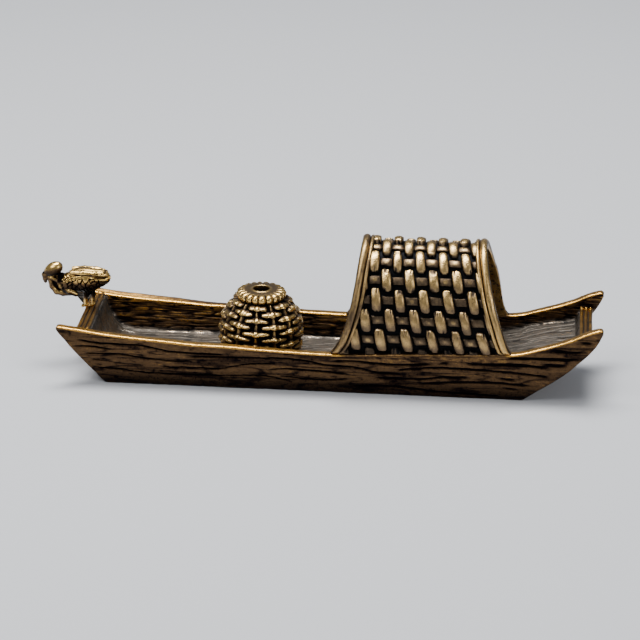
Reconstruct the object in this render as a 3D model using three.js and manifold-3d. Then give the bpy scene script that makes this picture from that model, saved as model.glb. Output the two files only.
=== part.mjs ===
// A small cast-brass incense burner in the shape of a fishing boat: an open hull with a woven
// arched canopy, a wicker fish basket whose collar takes one incense stick, and a cormorant
// standing on the bow crossbar. Millimetres. +X runs from bow to stern, +Y to the boat's far
// side, +Z up. The origin is on the table, under the middle of the overall length.
import * as THREE from "three";
import { mergeVertices } from "three/addons/utils/BufferGeometryUtils.js";
import Module from "manifold-3d";

// ---- Driving dimensions ------------------------------------------------------------------

const SEAM = 0.12; // solder gap between two castings
const CUT = 40; // reach of a cutter past the metal
const UNDERSIDE_Z = -2; // cutters start below the hull's bottom
const ROUND_STEPS = 24;

// Hull: side view (X, Z)
const BOTTOM_BOW_X = -45.0;
const BOTTOM_STERN_X = 43.0;
const BOW_TIP = [-54.8, 13.1];
const STERN_TIP = [59.9, 17.2];
const STERN_RAKE_BELLY = [55.9, 8.1]; // where the curved stern rake pulls towards
const GUNWALE = [
  STERN_TIP,
  [57.0, 16.4],
  [52.5, 14.4],
  [46.5, 12.4],
  [40.5, 10.9],
  [22.0, 10.2],
  [4.0, 9.45],
  [-16.0, 10.05],
  [-32.0, 10.75],
  [-44.5, 11.7],
  BOW_TIP,
];
const PLANK_TIP_BLUNT = 1.0; // height of the blunt end of each side plank

// Hull: section (Y, Z) and plan (X, Y), as half widths
const BOTTOM_HALF = 10.5;
const BEAM_HALF = 12.7;
const FLARE_TOP_Z = 9.4; // above this height the sides stand upright
const END_HALF = 12.1; // half width at the ends of the plan's arcs
const PLAN_END_X = 64; // the arcs end here, past both tips
const WALL = 1.9;

// Inside of the hull, side view
const FLOOR_Z = 4.2;
const TRANSOM_TOP_X = -51.0;
const TRANSOM_TOP_Z = 11.2;
const CREST_BACK_X = -48.0;
const RAMP_PULL_X = -45.6; // the ramp curves towards this point on the floor
const RAMP_FOOT_X = -40.5;
const FLOOR_RISE_X = 8.0;
const STERN_FLOOR = [[39.0, 7.5], [49.0, 9.7], [53.7, 10.5]];
const STERN_SEAT_X = 54.5;
const STERN_SEAT_Z = 12.3;
const STERN_BAR_END_X = 57.3;

// Crossbars: bars with round ridges that run from side to side
const BOW_BAR_RIDGES = 3;
const STERN_BAR_RIDGES = 3;
const BAR_BASE = 0.45; // flat stock under the ridges

// Canopy: half ellipses on straight legs, in section
const ARCH_SPRING_Z = 11.0;
const ARCH_LEG = 10; // straight leg below the half ellipse, before it is cut to the gunwale
const SHELL_HALF = 12.35;
const SHELL_RISE = 20.0;
const SHELL_THICK = 1.45;
const RIB_PROUD = 0.55; // how far a rib stands outside the shell
const RIB_INSIDE = 0.25; // and how far inside it
const RIB_WIDTH = 2.6;
const ARCH_STEPS = 20;
const FRONT_EDGE = [[2.6, 8.4], [3.7, 10.0], [5.2, 12.7], [7.1, 20.6], [8.2, 27.5], [8.9, 33.0]];
const REAR_EDGE = [[41.6, 9.4], [40.0, 11.6], [38.3, 16.5], [36.6, 22.0], [35.3, 27.5], [34.3, 33.0]];

// Fish basket and its collar, heights above the hull's floor
const BASKET_X = -12.9;
const BASKET_Y = 0.6;
const BASKET_PROFILE = [[8.3, 0], [8.75, 1.6], [9.05, 4.9], [8.6, 8.5], [7.4, 10.7], [6.2, 12.1]];
const BASKET_STEPS = 40;
const SPIGOT_R = 3.0;
const SPIGOT_DEPTH = 1.5;
const STICK_HOLE_R = 1.55;
const STICK_HOLE_BOTTOM = 1.6;
const COLLAR_R = 5.35;
const COLLAR_LOBES = 20;
const LOBE_DEPTH = 0.4;
const COLLAR_HEIGHT = 2.1;
const COLLAR_ROUND = 0.75;
const COLLAR_HOLE_R = 1.75;

// Cormorant, placed by the point under it on top of the bow crossbar
const BIRD_X = -50.1;
const BIRD_Y = 2.4;
const LEG_HALF_TRACK = 0.35;
const LEG_STAGGER = 0.76; // the near leg is this far towards the bow, the far leg as far behind
const LEG_R = 0.5;
const THIGH_R = 0.75;
const THIGH_BOTTOM_Z = 2.7;
const THIGH_TOP_Z = 5.0; // inside the trunk
const FOOT_THICK = 0.45;
const FOOT_HEEL = 0.5; // behind the leg's axis
const FOOT_LENGTH = 1.3;
const FOOT_HEEL_HALF = 0.35;
const FOOT_TOES_HALF = 0.75;
const MIDDLE_TOE = 0.15; // the middle toe is longer than the outer ones
const TRUNK = { radii: [4.7, 2.4, 2.75], at: [-0.9, 6.1], tilt: 0.05 };
const TAIL = { radii: [2.2, 1.6, 1.55], at: [2.6, 6.75] };
const BREAST = { radii: [2.6, 1.8, 2.3], at: [-4.9, 4.4] };
const NECK = { radii: [1.3, 1.1, 2.9], at: [-7.2, 5.0], tilt: 0.2 };
const CROWN = { radii: [2.05, 1.5, 1.5], at: [-7.5, 8.1], tilt: -0.5 };
const NECK_CUT_X = -5.3; // the head and neck are joined to the breast on this upright plane
const BEAK_ROOT = [-8.7, 7.9];
const BEAK_TIP = [-9.9, 4.9];
const BEAK_R = 0.9;

// ---- Materials ---------------------------------------------------------------------------

function brass(color, roughness) {
  return new THREE.MeshStandardMaterial({ color, roughness, metalness: 1.0 });
}

const hullBrass = brass(0x6e5430, 0.48);
const canopyBrass = brass(0xa88650, 0.36);
const basketBrass = brass(0x9a7846, 0.38);
const birdBrass = brass(0xa5803f, 0.34);

// ---- Solids ------------------------------------------------------------------------------

const wasm = await Module();
wasm.setup();

// A closed geometry as a manifold-3d solid, without the triangles that collapse on an axis.
function solidOf(geometry) {
  const bare = geometry.clone();
  bare.deleteAttribute("normal");
  bare.deleteAttribute("uv");
  const merged = mergeVertices(bare, 1e-4);
  const corners = [];
  const index = merged.index.array;
  for (let i = 0; i < index.length; i += 3) {
    const [a, b, c] = [index[i], index[i + 1], index[i + 2]];
    if (a !== b && b !== c && a !== c) corners.push(a, b, c);
  }
  return new wasm.Manifold(
    new wasm.Mesh({
      numProp: 3,
      vertProperties: new Float32Array(merged.attributes.position.array),
      triVerts: new Uint32Array(corners),
    }),
  );
}

function addMesh(parent, name, solid, material) {
  const made = solid.getMesh();
  const geometry = new THREE.BufferGeometry();
  geometry.setAttribute("position", new THREE.BufferAttribute(made.vertProperties, 3));
  geometry.setIndex(new THREE.BufferAttribute(made.triVerts, 1));
  geometry.computeVertexNormals();
  const mesh = new THREE.Mesh(geometry, material);
  mesh.name = name;
  parent.add(mesh);
  return mesh;
}

function vectors(points, shift = 0) {
  return points.map(([x, y]) => new THREE.Vector2(x + shift, y));
}

function polygon(points) {
  return new THREE.Shape(vectors(points));
}

function extrude(shape, depth, curveSegments = 4) {
  return new THREE.ExtrudeGeometry(shape, { depth, curveSegments, bevelEnabled: false });
}

// A side view (X, Z) given a width across the boat, centred on it.
function acrossBoat(shape, width = 2 * CUT, curveSegments = 4) {
  return solidOf(extrude(shape, width, curveSegments).rotateX(Math.PI / 2).translate(0, width / 2, 0));
}

// A section (Y, Z) run along the boat from one X to another.
function alongBoat(shape, fromX, toX, curveSegments = 4) {
  const turn = new THREE.Matrix4().makeBasis(
    new THREE.Vector3(0, 1, 0),
    new THREE.Vector3(0, 0, 1),
    new THREE.Vector3(1, 0, 0),
  );
  return solidOf(extrude(shape, toX - fromX, curveSegments).applyMatrix4(turn).translate(fromX, 0, 0));
}

// A plan outline (X, Y) given a height.
function upFrom(shape, fromZ, toZ, curveSegments = 4) {
  return solidOf(extrude(shape, toZ - fromZ, curveSegments).translate(0, 0, fromZ));
}

// A lathe profile of [radius, height] points turned about Z.
function turned(profile, steps) {
  return solidOf(new THREE.LatheGeometry(vectors(profile), steps).rotateX(Math.PI / 2));
}

// An egg on the boat's lengthwise plane, tilted in the side view.
function ellipsoid({ radii, at: [x, z], tilt = 0 }) {
  const geometry = new THREE.SphereGeometry(1, 20, 14).rotateX(Math.PI / 2);
  return solidOf(geometry.scale(...radii).rotateY(tilt).translate(x, 0, z));
}

// ---- Hull --------------------------------------------------------------------------------

// The whole boat seen from the side, filled.
function hullSideView() {
  const shape = new THREE.Shape();
  shape.moveTo(BOTTOM_BOW_X, 0);
  shape.lineTo(BOTTOM_STERN_X, 0);
  shape.quadraticCurveTo(...STERN_RAKE_BELLY, STERN_TIP[0], STERN_TIP[1] - PLANK_TIP_BLUNT);
  shape.lineTo(...STERN_TIP);
  shape.splineThru(vectors(GUNWALE.slice(1)));
  shape.lineTo(BOW_TIP[0], BOW_TIP[1] - PLANK_TIP_BLUNT);
  return shape;
}

// Flared sides up to FLARE_TOP_Z and upright ones above it, as half widths at three heights.
function hullSection(lowHalf, beamHalf, lowZ) {
  return polygon([
    [-lowHalf, lowZ],
    [lowHalf, lowZ],
    [beamHalf, FLARE_TOP_Z],
    [beamHalf, CUT],
    [-beamHalf, CUT],
    [-beamHalf, FLARE_TOP_Z],
  ]);
}

// The boat's plan, bowed a little outwards amidships; inset moves both sides inwards.
function hullPlan(inset) {
  const [end, beam] = [END_HALF - inset, BEAM_HALF - inset];
  const shape = new THREE.Shape();
  shape.moveTo(-PLAN_END_X, -end);
  shape.quadraticCurveTo(0, end - 2 * beam, PLAN_END_X, -end);
  shape.lineTo(PLAN_END_X, end);
  shape.quadraticCurveTo(0, 2 * beam - end, -PLAN_END_X, end);
  return shape;
}

// The room between the side planks, for any height, with a gap to each plank.
function betweenPlanks(gap) {
  const slope = (BEAM_HALF - BOTTOM_HALF) / FLARE_TOP_Z;
  const lowHalf = BOTTOM_HALF - WALL + slope * UNDERSIDE_Z - gap;
  const section = hullSection(lowHalf, BEAM_HALF - WALL - gap, UNDERSIDE_Z);
  const room = alongBoat(section, -2 * CUT, 2 * CUT);
  return room.intersect(upFrom(hullPlan(WALL + gap), -CUT, 2 * CUT, 8));
}

// Everything that is open between the planks, seen from the side: ahead of the raked transom,
// over the transom, down the ramp, along the floor and over the stern crossbar's seat.
function openSideView() {
  const rake = (BOTTOM_BOW_X - TRANSOM_TOP_X) / TRANSOM_TOP_Z;
  const shape = new THREE.Shape();
  shape.moveTo(-2 * CUT, UNDERSIDE_Z);
  shape.lineTo(BOTTOM_BOW_X - rake * UNDERSIDE_Z, UNDERSIDE_Z);
  shape.lineTo(TRANSOM_TOP_X, TRANSOM_TOP_Z);
  shape.lineTo(CREST_BACK_X, TRANSOM_TOP_Z);
  shape.quadraticCurveTo(RAMP_PULL_X, FLOOR_Z, RAMP_FOOT_X, FLOOR_Z);
  shape.lineTo(FLOOR_RISE_X, FLOOR_Z);
  shape.splineThru(vectors(STERN_FLOOR));
  shape.lineTo(STERN_SEAT_X, STERN_SEAT_Z);
  shape.lineTo(2 * CUT, STERN_SEAT_Z);
  shape.lineTo(2 * CUT, CUT);
  shape.lineTo(-2 * CUT, CUT);
  return shape;
}

function makeHull() {
  const filled = acrossBoat(hullSideView())
    .intersect(alongBoat(hullSection(BOTTOM_HALF, BEAM_HALF, 0), -2 * CUT, 2 * CUT))
    .intersect(upFrom(hullPlan(0), -CUT, CUT, 8));
  const open = acrossBoat(openSideView()).intersect(betweenPlanks(0));
  const socketTop = FLOOR_Z + 1;
  const socketBottom = FLOOR_Z - SPIGOT_DEPTH - SEAM;
  const socket = solidOf(
    new THREE.CylinderGeometry(SPIGOT_R + SEAM, SPIGOT_R + SEAM, socketTop - socketBottom, ROUND_STEPS)
      .rotateX(Math.PI / 2)
      .translate(BASKET_X, BASKET_Y, (socketTop + socketBottom) / 2),
  );
  return filled.subtract(open).subtract(socket);
}

// A bar across the boat with round ridges on top, ended at the planks.
function makeCrossbar(fromX, toX, seatZ, ridges) {
  const pitch = (toX - fromX) / ridges;
  const top = seatZ + SEAM + BAR_BASE;
  const shape = new THREE.Shape();
  shape.moveTo(fromX, seatZ + SEAM);
  shape.lineTo(toX, seatZ + SEAM);
  for (let i = ridges - 1; i >= 0; i -= 1) {
    shape.absarc(fromX + (i + 0.5) * pitch, top, pitch / 2, 0, Math.PI);
  }
  return acrossBoat(shape, 2 * CUT, 3).intersect(betweenPlanks(SEAM));
}

// ---- Canopy ------------------------------------------------------------------------------

// The arch in section: half ellipses on straight legs, outset from the shell's outer face.
function archSection(outset, inset) {
  const outer = [SHELL_HALF + outset, SHELL_RISE + outset];
  const inner = [SHELL_HALF - inset, SHELL_RISE - inset];
  const legZ = ARCH_SPRING_Z - ARCH_LEG;
  const shape = new THREE.Shape();
  shape.moveTo(outer[0], legZ);
  shape.absellipse(0, ARCH_SPRING_Z, ...outer, 0, Math.PI, false);
  shape.lineTo(-outer[0], legZ);
  shape.lineTo(-inner[0], legZ);
  shape.absellipse(0, ARCH_SPRING_Z, ...inner, Math.PI, 0, true);
  shape.lineTo(inner[0], legZ);
  return shape;
}

// The band of the side view between two edges, each a list of points from the foot up.
function between(left, leftShift, right, rightShift) {
  const shape = new THREE.Shape();
  const [leftPoints, rightPoints] = [vectors(left, leftShift), vectors(right, rightShift)];
  shape.setFromPoints([leftPoints[0]]);
  shape.splineThru(leftPoints.slice(1));
  rightPoints.reverse();
  shape.lineTo(rightPoints[0].x, rightPoints[0].y);
  shape.splineThru(rightPoints.slice(1));
  return shape;
}

// An arch, cut to its band of the side view and ended a seam above the gunwales.
function makeArch(outset, inset, band) {
  const arch = alongBoat(archSection(outset, inset), 0, 2 * CUT, ARCH_STEPS);
  return arch
    .intersect(acrossBoat(band, 2 * CUT, 2))
    .subtract(acrossBoat(hullSideView()).translate([0, 0, SEAM]));
}

function makeShell() {
  const inner = RIB_WIDTH + SEAM;
  return makeArch(0, SHELL_THICK, between(FRONT_EDGE, inner, REAR_EDGE, -inner));
}

function makeRib(edge, side) {
  const inset = SHELL_THICK + RIB_INSIDE;
  const width = RIB_WIDTH * side;
  const band = side > 0 ? between(edge, 0, edge, width) : between(edge, width, edge, 0);
  return makeArch(RIB_PROUD, inset, band);
}

// ---- Fish basket -------------------------------------------------------------------------

function makeBasketBody() {
  const top = BASKET_PROFILE[BASKET_PROFILE.length - 1][1];
  const profile = [
    [0, -SPIGOT_DEPTH],
    [SPIGOT_R, -SPIGOT_DEPTH],
    [SPIGOT_R, 0],
    ...BASKET_PROFILE,
    [STICK_HOLE_R, top],
    [STICK_HOLE_R, STICK_HOLE_BOTTOM],
    [0, STICK_HOLE_BOTTOM],
  ];
  return turned(profile, BASKET_STEPS);
}

// A flat ring with a lobed edge, rounded over on both faces and at the hole.
function makeCollar() {
  const stepsPerLobe = 6;
  const outline = [];
  for (let i = 0; i < COLLAR_LOBES * stepsPerLobe; i += 1) {
    const turn = i / (COLLAR_LOBES * stepsPerLobe);
    const lobe = Math.abs(Math.sin(Math.PI * COLLAR_LOBES * turn));
    const radius = COLLAR_R - LOBE_DEPTH * (1 - lobe);
    const angle = 2 * Math.PI * turn;
    outline.push([radius * Math.cos(angle), radius * Math.sin(angle)]);
  }
  const shape = polygon(outline);
  shape.holes.push(new THREE.Path().absarc(0, 0, COLLAR_HOLE_R, 0, 2 * Math.PI, true));
  const geometry = new THREE.ExtrudeGeometry(shape, {
    depth: COLLAR_HEIGHT - 2 * COLLAR_ROUND,
    bevelThickness: COLLAR_ROUND,
    bevelSize: COLLAR_ROUND / 2,
    bevelOffset: -COLLAR_ROUND / 2,
    bevelSegments: 2,
    curveSegments: 12,
  });
  return solidOf(geometry.translate(0, 0, COLLAR_ROUND));
}

// ---- Cormorant ---------------------------------------------------------------------------

// All of the bird from one X to another.
function slice(fromX, toX) {
  return acrossBoat(polygon([[fromX, 0], [toX, 0], [toX, CUT], [fromX, CUT]]));
}

function legPlace(side) {
  return { x: side * LEG_STAGGER, y: side * LEG_HALF_TRACK };
}

function legCylinder(radius, fromZ, toZ, side) {
  const { x, y } = legPlace(side);
  const geometry = new THREE.CylinderGeometry(radius, radius, toZ - fromZ, 12).rotateX(Math.PI / 2);
  return solidOf(geometry.translate(x, y, (fromZ + toZ) / 2));
}

function makeBirdBody() {
  const thighs = [-1, 1].map((side) => legCylinder(THIGH_R, THIGH_BOTTOM_Z, THIGH_TOP_Z, side));
  const whole = ellipsoid(TRUNK).add(ellipsoid(BREAST)).add(ellipsoid(TAIL));
  return whole.add(thighs[0]).add(thighs[1]).intersect(slice(NECK_CUT_X, CUT));
}

// A cone from one point of the side view to another.
function cone(from, to, radius) {
  const [forward, up] = [to[0] - from[0], to[1] - from[1]];
  const length = Math.hypot(forward, up);
  return solidOf(
    new THREE.ConeGeometry(radius, length, 12)
      .rotateX(Math.PI / 2)
      .translate(0, 0, length / 2)
      .rotateY(Math.atan2(forward, up))
      .translate(from[0], 0, from[1]),
  );
}

function makeBirdHead() {
  const whole = ellipsoid(BREAST).add(ellipsoid(NECK)).add(ellipsoid(CROWN));
  return whole.add(cone(BEAK_ROOT, BEAK_TIP, BEAK_R)).intersect(slice(-CUT, NECK_CUT_X - SEAM));
}

// A straight leg on a webbed foot that is wider towards the bow.
function makeLeg(side) {
  const { x, y } = legPlace(side);
  const leg = legCylinder(LEG_R, SEAM, THIGH_BOTTOM_Z - SEAM, side);
  const heel = x + FOOT_HEEL;
  const toes = heel - FOOT_LENGTH;
  const web = polygon([
    [heel, y - FOOT_HEEL_HALF],
    [heel, y + FOOT_HEEL_HALF],
    [toes, y + FOOT_TOES_HALF],
    [toes - MIDDLE_TOE, y],
    [toes, y - FOOT_TOES_HALF],
  ]);
  return leg.add(upFrom(web, SEAM, SEAM + FOOT_THICK));
}

// ---- Assembly ----------------------------------------------------------------------------

const boat = new THREE.Group();
const bowBarTop = TRANSOM_TOP_Z + SEAM + BAR_BASE + (CREST_BACK_X - TRANSOM_TOP_X) / BOW_BAR_RIDGES / 2;

addMesh(boat, "hull", makeHull(), hullBrass);
addMesh(
  boat,
  "bow_crossbar",
  makeCrossbar(TRANSOM_TOP_X, CREST_BACK_X, TRANSOM_TOP_Z, BOW_BAR_RIDGES),
  hullBrass,
);
addMesh(
  boat,
  "stern_crossbar",
  makeCrossbar(STERN_SEAT_X, STERN_BAR_END_X, STERN_SEAT_Z, STERN_BAR_RIDGES),
  hullBrass,
);
addMesh(boat, "canopy_shell", makeShell(), canopyBrass);
addMesh(boat, "canopy_front_rib", makeRib(FRONT_EDGE, 1), canopyBrass);
addMesh(boat, "canopy_rear_rib", makeRib(REAR_EDGE, -1), canopyBrass);

const basket = new THREE.Group();
basket.position.set(BASKET_X, BASKET_Y, FLOOR_Z + SEAM);
boat.add(basket);
addMesh(basket, "basket_body", makeBasketBody(), basketBrass);
const collar = addMesh(basket, "basket_collar", makeCollar(), basketBrass);
collar.position.z = BASKET_PROFILE[BASKET_PROFILE.length - 1][1] + SEAM;

const bird = new THREE.Group();
bird.position.set(BIRD_X, BIRD_Y, bowBarTop);
boat.add(bird);
addMesh(bird, "cormorant_body", makeBirdBody(), birdBrass);
addMesh(bird, "cormorant_head", makeBirdHead(), birdBrass);
addMesh(bird, "cormorant_near_leg", makeLeg(-1), birdBrass);
addMesh(bird, "cormorant_far_leg", makeLeg(1), birdBrass);

export default boat;
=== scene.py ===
"""The cast-brass boat incense burner: every casting is a dense mesh taken from a distance field or
a relief over its CAD solid, and wears an antique-brass material driven by how polished it is,
with painted light and shade mixed into that polish."""

import math

import bpy
import numpy as np
from mathutils import Matrix, Vector


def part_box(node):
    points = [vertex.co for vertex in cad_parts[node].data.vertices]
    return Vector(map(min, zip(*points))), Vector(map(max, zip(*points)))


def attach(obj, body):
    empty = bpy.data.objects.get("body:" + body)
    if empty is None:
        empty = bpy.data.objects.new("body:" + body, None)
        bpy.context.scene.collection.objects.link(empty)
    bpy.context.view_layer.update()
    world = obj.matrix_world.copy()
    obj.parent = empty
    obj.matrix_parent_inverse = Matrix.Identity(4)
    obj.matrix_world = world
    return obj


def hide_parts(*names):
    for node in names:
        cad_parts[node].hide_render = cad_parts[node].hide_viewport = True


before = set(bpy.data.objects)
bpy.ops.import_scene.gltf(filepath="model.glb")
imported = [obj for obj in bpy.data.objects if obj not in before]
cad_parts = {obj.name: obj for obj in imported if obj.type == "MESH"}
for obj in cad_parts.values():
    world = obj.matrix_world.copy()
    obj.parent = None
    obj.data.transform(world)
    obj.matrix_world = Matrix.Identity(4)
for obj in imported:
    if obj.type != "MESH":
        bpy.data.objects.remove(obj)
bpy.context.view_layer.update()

MM = 0.001


# ---- Sizes, in millimetres: the frame's, then the castings' own ----


def cad_box(name):
    """The lowest and highest corners of a CAD node."""
    low, high = np.array(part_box(name)) / MM
    return low, high


HULL_LO, HULL_HI = cad_box("hull")
BOW_BAR_LO, BOW_BAR_HI = cad_box("bow_crossbar")
STERN_BAR_LO, STERN_BAR_HI = cad_box("stern_crossbar")
SHELL_HI = cad_box("canopy_shell")[1]
RIB_HI = cad_box("canopy_front_rib")[1]
BASKET_LO, BASKET_HI = cad_box("basket_body")
COLLAR_LO, COLLAR_HI = cad_box("basket_collar")
BODY_LO, BODY_HI = cad_box("cormorant_body")
HEAD_LO = cad_box("cormorant_head")[0]

# Hull: its curves are lists of (X, Z) points
BEAM_HALF = HULL_HI[1]
BOTTOM_HALF = 10.5
FLARE_TOP_Z = 9.4
FLARE = (BEAM_HALF - BOTTOM_HALF) / FLARE_TOP_Z
END_HALF = BEAM_HALF - 0.6
WALL = 1.95
RIM_ROUND = 0.42
TIP_ROUND = 1.3
FILLET = 0.6
EDGE_ROUND = 0.3
RIM_WAVER = 0.06
FAR_LIFT = 0.5  # how much higher the outer edge of the far rim is at the bow
SEAT_SINK = 0.1  # how deep the crossbars' seats are cut under them
BOTTOM_BOW_X = -45.0
BOW_RAKE_TOP_Z = 11.8
STERN_RAKE = [(43.3, 0.0), (45.4, 1.6), (51.1, 6.0), (54.9, 9.6)]
STERN_RAKE += [(56.8, 11.5), (58.6, 14.0), (60.1, 17.5)]
GUNWALE = [
    (HULL_LO[0], 13.0),
    (-50.8, 12.5),
    (-44.5, 11.68),
    (-38.0, 11.15),
    (-32.0, 10.75),
    (-25.5, 10.3),
    (-19.0, 10.2),
    (-13.0, 9.9),
    (4.0, 9.45),
    (22.0, 10.2),
    (40.5, 10.9),
    (46.5, 12.38),
    (52.5, 14.4),
    (57.0, 16.45),
    (HULL_HI[0], HULL_HI[2] + 0.1),
]
FLOOR_Z = 4.2
RAMP_FOOT_X = -40.5
SEAT_Z = BOW_BAR_LO[2] - SEAT_SINK
STERN_SEAT_Z = STERN_BAR_LO[2] - SEAT_SINK
FLOOR = [
    (BOW_BAR_LO[0] - 6, SEAT_Z),
    (BOW_BAR_HI[0] - 0.8, SEAT_Z),
    (BOW_BAR_HI[0], SEAT_Z + 0.4),
    (BOW_BAR_HI[0] + 1.1, 8.6),
    (-45.4, 6.3),
    (-43.6, 4.8),
    (RAMP_FOOT_X, FLOOR_Z),
    (8.0, FLOOR_Z),
    (24.0, 5.6),
    (39.0, 7.5),
    (49.0, 9.7),
    (STERN_BAR_LO[0] - 0.8, 10.5),
    (STERN_BAR_LO[0], STERN_SEAT_Z),
    (HULL_HI[0], STERN_SEAT_Z),
]
BAR_RIDGES = 3
BAR_SUNK = 0.25  # into its seat
BAR_BURIED = 0.4  # into the planks on each side

# The long grain lines cut along each side of the hull
GROOVES = [
    [(-50.5, 10.2), (-44.8, 9.6), (-38.0, 9.6), (-30.0, 8.4), (-19.5, 8.2)],
    [(-51.4, 8.7), (-47.5, 8.8), (-43.2, 8.3)],
    [(-49.0, 7.1), (-42.0, 7.2), (-35.8, 6.5), (-30.7, 6.1), (-26.3, 6.2)],
    [(-47.8, 5.7), (-44.2, 5.5)],
    [(-47.1, 3.9), (-42.2, 3.5), (-34.5, 2.9), (-24.6, 2.9), (-16.5, 3.2)]
    + [(-11.6, 3.4), (-5.0, 2.2)],
    [(-33.0, 4.6), (-20.5, 4.7), (-15.6, 5.9), (-8.7, 6.6)],
    [(-27.0, 7.3), (-13.0, 7.8), (-6.3, 7.9), (-2.5, 7.6), (2.5, 6.7)]
    + [(7.1, 6.6), (12.7, 5.4), (18.0, 5.2)],
    [(-10.4, 4.8), (-6.4, 5.4), (-0.3, 5.2), (7.1, 4.6)],
    [(-7.4, 3.5), (0.9, 3.0), (7.1, 3.5)],
    [(3.3, 7.8), (7.1, 8.0), (15.1, 7.5), (24.3, 8.0)],
    [(7.1, 1.8), (15.9, 2.1), (25.2, 1.3), (38.6, 0.8)],
    [(12.1, 4.0), (21.9, 4.2), (27.3, 5.0), (32.3, 5.1)],
    [(16.7, 6.2), (27.1, 7.3), (38.4, 6.9), (48.6, 6.1)],
    [(21.5, 2.9), (27.1, 3.6), (36.4, 4.1), (44.7, 3.7)],
    [(25.5, 8.3), (28.3, 8.6)],
    [(30.7, 8.8), (33.1, 8.4), (41.5, 8.7), (49.0, 8.3)],
    [(37.8, 5.2), (42.1, 4.9)],
    [(39.0, 2.9), (42.5, 2.5)],
    [(39.5, 10.1), (46.9, 10.3), (54.6, 10.3)],
    [(46.6, 9.0), (52.3, 8.9)],
    [(48.9, 12.2), (53.9, 11.9), (56.2, 12.1)],
    [(54.3, 14.2), (57.7, 14.1)],
]
GROOVE_HALF = 0.26
GROOVE_DEPTH = 0.45
OUTER_GRAIN_DEPTH = 0.07
INNER_GRAIN_DEPTH = 0.14
DECK_GRAIN_DEPTH = 0.12
LUMP_HEIGHT = 0.03
PIT_DEPTH = 0.06
HULL_STEP = (0.36, 0.2, 0.1)
BAR_STEP = (0.09, 0.2, 0.08)

# Canopy
ARCH_Z = 11.0
WEAVE_PROUD = 0.35  # how far the weave stands out of the arch
ARCH_HALF = SHELL_HI[1] - WEAVE_PROUD
ARCH_RISE = SHELL_HI[2] - ARCH_Z - WEAVE_PROUD
SHELL_INSIDE = 1.15
RIB_INSIDE = 1.3
RIB_WIDTH = 2.6
WIDE_BEAD = (0.82, 0.82, 0.75)  # middle across the rib, half width and height
THIN_BEAD = (2.1, 0.46, 0.6)
FAR_TUCK = 1.5  # how much less the far feet spread than the near ones
RIB_RISE = RIB_HI[2] - SHELL_HI[2] + 0.3
LEG_ANGLE = math.radians(-6)
FRONT_EDGE = [(2.6, 8.9), (3.5, 10.2), (4.9, 12.7), (7.1, 20.6), (8.1, 27.5), (8.9, 33.0)]
REAR_EDGE = [(41.6, 10.0), (40.2, 11.5), (38.3, 16.5), (36.6, 22.0), (35.3, 27.5), (34.3, 33.0)]
WEAVE_ROWS = 12
WEAVE_FIRST_ROW = math.radians(5.5)
WEAVE_PITCH = (2.68, -0.072)  # from one strip to the next at the lowest row, and its change a row
WEAVE_MIDDLE = (24.13, -1.11, 0.085)  # where strip 5 runs, as a curve over the rows
WEAVE_DEEP = -0.9

# Basket: its side is the surface that the wicker stands out of
BASKET_X = (BASKET_LO[0] + BASKET_HI[0]) / 2
BASKET_Y = (BASKET_LO[1] + BASKET_HI[1]) / 2
BASKET_R = (BASKET_HI[0] - BASKET_LO[0]) / 2
BASKET_SIDE = [(7.9, 4.1), (8.3, 5.9), (BASKET_R - 0.45, 9.2)]
BASKET_SIDE += [(8.1, 12.5), (6.9, 14.7), (5.6, 16.5)]
STAKES = 13
STAKE_HALF = 0.58
STRAND_HALF = 0.47
WEFT_PITCH = 1.38
WEFT_Z = 11.2  # where a strand passes over the front stake
WICKER_DEEP = -0.8
HOLE_R = 1.75
HOLE_BOTTOM = 2.4  # above the basket's foot
FOOT_R = 7.0
PINHOLE_R = 0.4
COLLAR_R = (COLLAR_HI[0] - COLLAR_LO[0]) / 2 + 0.05
COLLAR_ROUND = 1.6
LOBES = 20
LOBE_DEPTH = 0.7

# Cormorant, placed by the point under it on top of the bow crossbar
BIRD_X = BODY_HI[0] - 4.8
BIRD_Y = (BODY_LO[1] + BODY_HI[1]) / 2
BAR_TOP_Z = BOW_BAR_HI[2]
HEAD_FORWARD, HEAD_UP = 7.55, 8.05
FEATHER_DEPTH = 0.3
BIRD_STEP = (0.085, 0.085, 0.085)
LEG_STEP = (0.08, 0.08, 0.08)


# ---- Numbers over space: curves, smooth joins and noise ----


def curve(points):
    """A smooth curve through points that never overshoots them."""
    xs, ys = np.array(points, float).T
    gaps = np.diff(xs)
    slopes = np.diff(ys) / gaps
    before, after = slopes[:-1], slopes[1:]
    same = before * after > 0
    middle = np.where(same, 2 * before * after / np.where(same, before + after, 1), 0)
    tangents = np.concatenate([slopes[:1], middle, slopes[-1:]])

    def value(x):
        x = np.clip(x, xs[0], xs[-1])
        i = np.clip(np.searchsorted(xs, x) - 1, 0, len(gaps) - 1)
        t = (x - xs[i]) / gaps[i]
        rise = ys[i + 1] - ys[i]
        start = tangents[i] * gaps[i]
        end = tangents[i + 1] * gaps[i]
        square, cube = 3 * rise - 2 * start - end, start + end - 2 * rise
        return ys[i] + start * t + square * t**2 + cube * t**3

    return value


def swapped(points):
    """The same points with height first, for a curve that gives X from Z."""
    return [(z, x) for x, z in points]


def fade(x, low, high):
    """0 at low, 1 at high, smooth between; low may be above high."""
    t = np.clip((x - low) / (high - low), 0, 1)
    return t * t * (3 - 2 * t)


def round_max(a, b, r):
    """Where two solids meet in a convex edge of radius r."""
    return np.minimum(np.maximum(a, b), -r) + np.hypot(np.maximum(a + r, 0), np.maximum(b + r, 0))


def round_min(a, b, r):
    """Two solids joined with a fillet of radius r."""
    return np.maximum(np.minimum(a, b), r) - np.hypot(np.maximum(r - a, 0), np.maximum(r - b, 0))


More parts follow.
